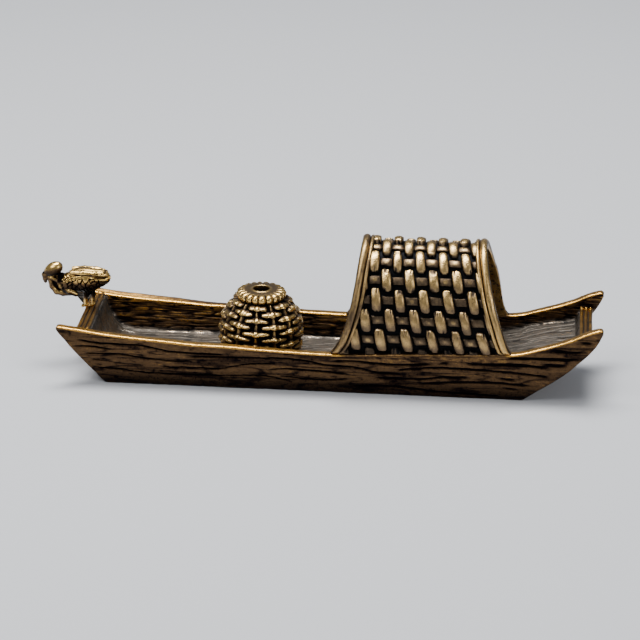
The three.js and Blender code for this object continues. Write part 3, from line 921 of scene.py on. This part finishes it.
def wicker(turn, z):
    """Height of the wicker over the basket's side, and its polish with painted shade on the
    strands' lower flanks. One strand winds up round an odd number of stakes, in front of one and
    behind the next; turn is 0 at the front stake."""
    stake = turn / (2 * math.pi) * STAKES + 0.05 * noise(turn * 4, z / 2, 0.5, 80)
    lap = (side_length(z) - side_length(WEFT_Z)) / WEFT_PITCH + turn / (2 * math.pi)
    lap = lap + 0.12 * noise(stake * 1.3, z / 2, 0.5, 81)
    nearest, level = np.round(stake), np.round(lap)
    own = noise(nearest * 3.3, level * 2.9, 0.5, 82)
    ripple = 0.04 * noise(stake * 4, z / 0.5, 1.5, 83)

    # along is how many stakes a point of a strand is from the stake it passes over
    beat = stake + level
    along = np.abs(beat - 2 * np.round(beat / 2))
    off_lap = np.abs(lap - level) * WEFT_PITCH
    knob = fade(along, 0.17, 0.05)
    half = STRAND_HALF + 0.08 * own - 0.04 * along + 0.18 * knob
    oval = (off_lap / half) ** 2.4 + (along / (0.74 + 0.05 * own)) ** 8
    crease = fade(np.abs(along - 0.24), 0.07, 0.0)
    strand = (0.62 + 0.06 * own) * np.clip(1 - oval, 0, 1) ** 0.45 - 0.12 - 0.2 * along**2
    strand = strand + 0.1 * knob - 0.1 * crease - 2 * fade(oval, 0.95, 1.1)

    # A stake thickens downwards to the strand that crosses over it
    climb = np.mod(nearest + lap, 2)
    rod_half = STAKE_HALF - 0.21 * climb
    off_stake = np.abs(stake - nearest) * 2 * math.pi * BASKET_R / STAKES
    rod = 0.24 - 0.25 * (off_stake / rod_half) ** 4
    rod = rod - 2.5 * fade(off_stake, rod_half, rod_half + 0.1)

    height = np.maximum(round_max(strand, rod, 0.05), WICKER_DEEP) + ripple
    # Painted shade: each strand's lower flank is darker
    below = fade((level - lap) * WEFT_PITCH, 0.02, 0.4)
    polish_and_painted_light = (0.42 + 1.15 * np.clip(height, -0.2, 0.6)) * (0.9 + 0.2 * own) * (1 - 0.5 * below)
    return height, polish_and_painted_light * fade(height, -0.4, -0.1)


def make_basket():
    angles = np.linspace(-math.pi, math.pi, 520, endpoint=False)
    turns = angles - 0.5 * math.pi - 0.03  # the front stake is a little to the bow's side
    low, high = BASKET_SIDE[0][1], BASKET_SIDE[-1][1]
    z = np.linspace(low, high, 150)[None, :]
    height, polish_and_painted_light = wicker(angles[:, None], z)
    outer_r = side_r(z) + height

    # Then over the top, down the stick hole and along the underside. A turned mesh can't close
    # on its own axis, so a pinhole runs on from the bottom of the stick hole.
    top_r, sole = BASKET_SIDE[-1][0] * 0.7, low - 0.2
    rest = [(top_r, high), (HOLE_R, high), (HOLE_R, low + HOLE_BOTTOM)]
    rest += [(PINHOLE_R, low + HOLE_BOTTOM - 0.2), (PINHOLE_R, sole)]
    rest += [(top_r, sole), (FOOT_R, low - 0.1)]
    rest_r, rest_z = np.array(rest).T
    shape = (len(turns), len(rest))
    radius = np.concatenate([outer_r, np.broadcast_to(rest_r, shape)], 1)
    heights = np.concatenate([np.broadcast_to(z, outer_r.shape), np.broadcast_to(rest_z, shape)], 1)
    points, faces = turned_mesh(radius, heights, turns)
    shade = np.concatenate([polish_and_painted_light, np.zeros(shape)], 1)
    piece("basket_body", points, faces, shade.ravel(), BASKET, ["basket_body"])


def make_collar():
    """A smooth cap with a small lip round the stick hole, gadrooned over its outer edge."""
    turns = np.linspace(0, 2 * math.pi, LOBES * 24, endpoint=False)
    low, high = COLLAR_LO[2] - 0.3, COLLAR_HI[2]
    tall = high - low
    lip_turn = np.linspace(math.pi, 0, 12)
    lip_r = HOLE_R + 0.22 + 0.22 * np.cos(lip_turn)
    lip_z = high - 0.16 + 0.12 * np.sin(lip_turn)
    cap_r = np.array([2.5, 2.8, 3.1, 3.4, 3.6])
    cap_z = high - 0.17 - 0.03 * (cap_r - 2.2) ** 2
    round_turn = np.linspace(0.4 * math.pi, -0.5 * math.pi, 48)
    round_r = COLLAR_R - COLLAR_ROUND + COLLAR_ROUND * np.cos(round_turn) ** 0.8
    round_z = low + 0.5 * tall + np.where(round_turn > 0, 0.42, 0.5) * tall * np.sin(round_turn)
    radius = np.concatenate([lip_r, cap_r, round_r, [2.6, HOLE_R]])
    heights = np.concatenate([lip_z, cap_z, round_z, [low, low + 0.2]])
    lobed = (fade(radius, 3.2, COLLAR_R - 0.9) * fade(heights, low - 0.1, low + 0.3))[None, :]
    uneven = 0.2 * np.sin(3 * turns) + 0.15 * np.sin(7 * turns)
    lobe = np.abs(np.sin(LOBES / 2 * turns + uneven))[:, None]
    notch = lobed * (1 - lobe**0.34)
    radius = radius[None, :] - LOBE_DEPTH * notch
    heights = np.broadcast_to(heights, radius.shape) - 0.3 * notch
    points, faces = turned_mesh(radius[:, ::-1], heights[:, ::-1], turns)
    # Painted shade: each lobe darkens towards its lower edge
    swollen = (0.86 - 0.3 * fade(heights, low + 0.9, low + 0.2)) * fade(lobe, 0.08, 0.35)
    polish_and_painted_light = 0.5 * (1 - lobed) + swollen * lobed
    polish_and_painted_light[:, : len(lip_r)] = 0.7
    polish_and_painted_light[:, -2:] = 0.0
    piece("basket_collar", points, faces, polish_and_painted_light[:, ::-1].ravel(), BASKET, ["basket_collar"])


# ---- Cormorant ----


def egg(x, y, z, centre, radii, tilt=0.0):
    """Roughly the distance from an ellipsoid, tilted nose-up about Y."""
    cx, cz = x - centre[0], z - centre[2]
    along = cx * math.cos(tilt) - cz * math.sin(tilt)
    up = cx * math.sin(tilt) + cz * math.cos(tilt)
    across = (y - centre[1]) / radii[1]
    scaled = np.sqrt((along / radii[0]) ** 2 + across**2 + (up / radii[2]) ** 2)
    return (scaled - 1) * min(radii)


def tube(x, y, z, points, radii):
    """Distance from a chain of round segments with a radius at each point."""
    nearest = None
    for (start, r0), (end, r1) in zip(zip(points, radii), zip(points[1:], radii[1:])):
        axis = np.array(end) - np.array(start)
        t = (x - start[0]) * axis[0] + (y - start[1]) * axis[1] + (z - start[2]) * axis[2]
        t = np.clip(t / (axis**2).sum(), 0, 1)
        gap = np.sqrt(
            (x - start[0] - t * axis[0]) ** 2
            + (y - start[1] - t * axis[1]) ** 2
            + (z - start[2] - t * axis[2]) ** 2
        )
        gap = gap - (r0 + t * (r1 - r0))
        nearest = gap if nearest is None else round_min(nearest, gap, 0.25)
    return nearest


def bird_point(forward, y, up):
    """A point from how far it is ahead of the feet, to the far side and above the crossbar."""
    return (BIRD_X - forward, BIRD_Y + y, BAR_TOP_Z + up)


def bird_line(*places):
    """A chain of points on the bird."""
    return [bird_point(*place) for place in places]


def both_sides(x, y, z):
    """Folds the far half of the bird onto the near half."""
    return x, BIRD_Y - np.abs(y - BIRD_Y), z


def bird_body(x, y, z):
    """The field of the body: trunk, rump and breast, then the wings, apron and thighs on them."""
    x, y, z = both_sides(x, y, z)
    trunk = egg(x, y, z, bird_point(1.0, 0, 5.95), (4.5, 2.3, 2.7), -0.03)
    rump = egg(x, y, z, bird_point(-2.5, 0, 6.6), (2.2, 1.55, 1.6), 0.0)
    breast = egg(x, y, z, bird_point(4.3, 0, 4.7), (2.1, 1.75, 2.3), 0.3)
    body = round_min(round_min(trunk, rump, 0.8), breast, 0.6)
    wing = bird_line((3.6, -1.3, 7.9), (1.2, -1.5, 7.85), (-1.4, -1.45, 7.75), (-3.4, -1.0, 7.5))
    body = round_min(body, tube(x, y, z, wing, [0.4, 0.62, 0.66, 0.6]), 0.12)
    quill = bird_line((-1.0, -1.75, 6.6), (-3.6, -0.9, 6.4))
    body = round_min(body, tube(x, y, z, quill, [0.5, 0.6]), 0.15)
    apron = bird_line((5.3, -1.05, 4.5), (4.0, -1.35, 3.5), (2.7, -1.1, 2.9))
    body = round_min(body, tube(x, y, z, apron, [0.5, 0.62, 0.55]), 0.12)
    thigh = bird_line((0.4, -0.5, 4.6), (0.2, -0.4, 2.6))
    return round_min(body, tube(x, y, z, thigh, [0.9, 0.5]), 0.4)


def cracks(u, v, seed):
    """0 where irregular cells meet and about 0.5 in their middles, one cell a unit."""
    column, row = np.floor(u).astype(np.int64), np.floor(v).astype(np.int64)
    first = np.full(u.shape, 9.0)
    second = first.copy()
    for i in (-1, 0, 1):
        for j in (-1, 0, 1):
            near_u = column + i + 0.5 + 0.46 * lattice(column + i, row + j, 0, seed)
            near_v = row + j + 0.5 + 0.46 * lattice(column + i, row + j, 1, seed)
            away = np.hypot(near_u - u, near_v - v)
            second = np.minimum(second, np.maximum(first, away))
            first = np.minimum(first, away)
    return second - first


def feathers(x, y, z):
    """1 on each feather and 0 in the dark gaps between: long on the wings, short on the breast."""
    up, forward = z - BAR_TOP_Z, BIRD_X - x
    ruffle = noise(x / 1.3, y / 1.3, z / 1.3, 91)
    rows = (up + 0.1 * forward + 0.15 * ruffle) / 0.95
    long = fade(np.abs(rows - np.floor(rows) - 0.5), 0.47, 0.33)
    long = np.maximum(long, fade(up, 7.9, 8.2))
    moved = up + 0.65 * ruffle + 3 * (y > BIRD_Y)  # so that the two sides differ
    u, v = 0.75 * forward + 0.5 * moved, 0.85 * moved - 0.6 * forward
    short = fade(cracks(u, v, 93), 0.05, 0.26)
    wing = fade(up, 6.7, 7.1) * fade(forward, 4.6, 3.8)
    wing = np.maximum(wing, fade(forward, -2.4, -3.2))
    return short * (1 - wing) + long * wing


def make_bird_body():
    low, high = bird_point(7.4, -3.2, 1.4), bird_point(-5.6, 3.2, 10.0)
    points, normals, faces = field_mesh(bird_body, low, high, BIRD_STEP)
    x, y, z = points.T
    up, forward = z - BAR_TOP_Z, BIRD_X - x
    apron = fade(up, 4.4, 4.0) * fade(forward, 1.9, 2.6)
    raised = np.maximum(feathers(x, y, z), apron)
    # Painted shade: faces turned down, the lower body, the front of the body by the neck and the
    # belly below shade_top are darkened, and the apron is painted lighter where it faces up
    facing_up_light = fade(normals[:, 2], -0.6, 0.3)
    back = fade(up, 8.1, 8.6) * 0.4
    polish_and_painted_light = raised * (0.28 + 0.72 * fade(up, 4.4, 6.8) - back) * (0.25 + 0.75 * facing_up_light)
    polish_and_painted_light = polish_and_painted_light * (1 - 0.9 * fade(forward, 5.7, 6.4))
    polish_and_painted_light = np.where(apron > 0.5, 0.75 * fade(normals[:, 2], -0.4, 0.4), polish_and_painted_light)
    shade_top = 3.4 - 1.5 * fade(forward, 1.9, 2.6)
    polish_and_painted_light = polish_and_painted_light * fade(up, shade_top - 0.5, shade_top)
    sunk = points - normals * (FEATHER_DEPTH * (1 - raised))[:, None]
    piece("cormorant_body", sunk, faces, polish_and_painted_light, BIRD, ["cormorant_body"])


def bird_head(x, y, z):
    """The field of the head: crown, hooked beak, the neck's loop with its folds, and a sheet in the
    loop and a nape mass that are painted dark as shade.
    """
    x, y, z = both_sides(x, y, z)
    whole = egg(x, y, z, bird_point(HEAD_FORWARD, 0, HEAD_UP), (2.1, 1.55, 1.5), -0.55)
    tip = BIRD_X - HEAD_LO[0] - 0.5
    beak = bird_line((8.6, 0, 7.7), (9.45, 0, 6.7), (tip + 0.05, 0, 5.8), (tip, 0, 5.15))
    throat = bird_line((9.3, 0, 6.3), (8.0, -0.5, 6.15), (6.5, -0.7, 5.6), (4.9, -0.5, 5.2))
    loop = bird_line((8.5, -0.3, 5.9), (8.0, -0.4, 4.2), (7.0, -0.3, 3.0), (5.6, -0.2, 2.75))
    loop += bird_line((3.6, -0.1, 2.9))
    fold = bird_line((6.7, -0.5, 5.2), (6.0, -0.7, 4.3), (4.9, -0.9, 3.5))
    whole = round_min(whole, tube(x, y, z, beak, [0.9, 0.7, 0.52, 0.36]), 0.2)
    whole = round_min(whole, tube(x, y, z, throat, [0.45, 0.42, 0.42, 0.5]), 0.1)
    whole = round_min(whole, tube(x, y, z, loop, [0.42, 0.5, 0.6, 0.66, 0.7]), 0.1)
    whole = round_min(whole, tube(x, y, z, fold, [0.25, 0.42, 0.35]), 0.1)
    # A thin sheet in the neck's loop and a mass behind the head, both painted dark as shade
    shade_web = egg(x, y, z, bird_point(6.5, 0, 5.0), (1.9, 0.35, 2.1))
    shade_nape = egg(x, y, z, bird_point(5.8, 0, 5.9), (1.3, 0.9, 1.35))
    return round_min(round_min(whole, shade_web, 0.1), shade_nape, 0.2)


def make_bird_head():
    low = (HEAD_LO[0] - 0.5, BIRD_Y - 2.2, BAR_TOP_Z + 1.4)
    points, normals, faces = field_mesh(bird_head, low, bird_point(2.4, 2.2, 10.4), BIRD_STEP)
    x, y, z = points.T
    forward, side, up = BIRD_X - x, np.abs(y - BIRD_Y), z - BAR_TOP_Z
    crown = fade(np.hypot(forward - HEAD_FORWARD, up - HEAD_UP), 2.3, 1.9)
    # Painted shade: the crown's lower half, the sheet in the neck's loop, the mass behind the head
    # and every face turned down are darkened
    crown = crown * (0.25 + 0.75 * fade(normals[:, 2], -0.1, 0.6))
    loop_shade = fade(side, 0.45, 0.3) * fade(up, 6.6, 6.2) * fade(up, 2.9, 3.4)
    loop_shade = loop_shade * fade(forward, 8.3, 7.9)
    behind = fade(forward, 6.9, 6.5) * fade(up, 5.2, 5.7) * fade(up, 7.6, 7.3)
    polish_and_painted_light = np.maximum(crown, (0.55 + 0.15 * noise(x, y, z, 97)) * fade(up, 7.3, 7.0))
    polish_and_painted_light = polish_and_painted_light * (1 - np.maximum(loop_shade, behind))
    polish_and_painted_light = polish_and_painted_light * (0.2 + 0.8 * fade(normals[:, 2], -0.7, 0.2))
    piece("cormorant_head", points, faces, polish_and_painted_light, BIRD, ["cormorant_head"])


def make_leg(name):
    """A shank that thins down to three toes."""
    low, high = cad_box(name)
    foot_x, foot_y = (low[0] + high[0]) / 2 + 0.2, (low[1] + high[1]) / 2
    sole = low[2] - 0.15

    def field(x, y, z):
        shank = [(foot_x, foot_y, high[2] + 0.9), (foot_x + 0.05, foot_y, sole + 0.3)]
        leg = tube(x, y, z, shank, [0.52, 0.36])
        for spread in (-0.45, 0.0, 0.45):
            heel = (foot_x + 0.1, foot_y, sole + 0.35)
            claw = (foot_x - 0.65, foot_y + spread, sole + 0.15)
            leg = round_min(leg, tube(x, y, z, [heel, claw], [0.36, 0.25]), 0.15)
        return leg

    margin = 0.6
    inside_thigh = np.array([0, 0, 1.6])
    points, _, faces = field_mesh(field, low - margin, high + margin + inside_thigh, LEG_STEP)
    # Painted shade: each leg darkens upwards, under the body
    polish_and_painted_light = 0.85 - 0.75 * fade(points[:, 2], high[2] - 1.4, high[2])
    piece(name, points, faces, polish_and_painted_light, BIRD, [name])


# ---- The object ----

make_hull()
make_crossbar("bow_crossbar", BOW_BAR_LO, BOW_BAR_HI, 0.1, bow_end)
make_crossbar("stern_crossbar", STERN_BAR_LO, STERN_BAR_HI, 0.4, stern_rake)
make_shell()
# The rear rib is painted lighter than the front one
make_rib("canopy_front_rib", front_x, 1, 0.38)
make_rib("canopy_rear_rib", rear_x, -1, 0.58)
make_basket()
make_collar()
make_bird_body()
make_bird_head()
make_leg("cormorant_near_leg")
make_leg("cormorant_far_leg")


# ---- Stage, light and camera ----


def make_floor():
    """A pale matt floor, wide enough to have no edge in view."""
    mesh = bpy.data.meshes.new("floor")
    half = 2.5
    corners = [(-half, -half, 0), (half, -half, 0), (half, half, 0), (-half, half, 0)]
    mesh.from_pydata(corners, [], [(0, 1, 2, 3)])
    floor = bpy.data.objects.new("floor", mesh)
    bpy.context.scene.collection.objects.link(floor)
    material = bpy.data.materials.new("pale_floor")
    material.use_nodes = True
    shader = material.node_tree.nodes["Principled BSDF"]
    shader.inputs["Base Color"].default_value = (0.62, 0.63, 0.65, 1)
    shader.inputs["Roughness"].default_value = 0.85
    mesh.materials.append(material)


def area_light(name, place, size, power):
    """A soft light in metres and watts, facing the object."""
    data = bpy.data.lights.new(name, "AREA")
    data.shape = "RECTANGLE"
    data.size, data.size_y = size
    data.energy = power
    light = bpy.data.objects.new(name, data)
    bpy.context.scene.collection.objects.link(light)
    light.location = Vector(place)
    towards = Vector((0, 0, 0.01)) - Vector(place)
    light.rotation_euler = towards.to_track_quat("-Z", "Y").to_euler()


def make_lights():
    area_light("overhead_softbox", (-0.06, 0.08, 0.6), size=(0.45, 0.2), power=5.8)
    area_light("front_right_fill", (0.5, -0.45, 0.35), size=(0.25, 0.25), power=1.2)
    area_light("front_left_fill", (-0.35, -0.3, 0.5), size=(0.3, 0.3), power=1.5)
    world = bpy.data.worlds.new("studio")
    world.use_nodes = True
    background = world.node_tree.nodes["Background"]
    background.inputs["Color"].default_value = (0.75, 0.8, 0.9, 1)
    background.inputs["Strength"].default_value = 0.27
    bpy.context.scene.world = world


def make_camera():
    """A long lens on the near side, a little towards the stern and 21.5 degrees up."""
    yaw, elevation, roll = math.radians(4.9), math.radians(21.5), math.radians(0.6)
    distance = 0.6368
    aim = Vector((-0.0003, 0.0, 0.0121))
    level = Vector((math.cos(yaw), math.sin(yaw), 0))
    ahead = Vector((-math.sin(yaw), math.cos(yaw), 0)) * math.cos(elevation)
    forward = ahead - Vector((0, 0, math.sin(elevation)))
    right = math.cos(roll) * level + math.sin(roll) * level.cross(forward)
    up = right.cross(forward)
    data = bpy.data.cameras.new("camera")
    data.sensor_width = 36
    data.lens = 168.75
    data.clip_end = 20
    camera = bpy.data.objects.new("camera", data)
    bpy.context.scene.collection.objects.link(camera)
    axes = Matrix((right, up, -forward)).transposed()
    camera.matrix_world = Matrix.Translation(aim - forward * distance) @ axes.to_4x4()
    bpy.context.scene.camera = camera


make_floor()
make_lights()
make_camera()

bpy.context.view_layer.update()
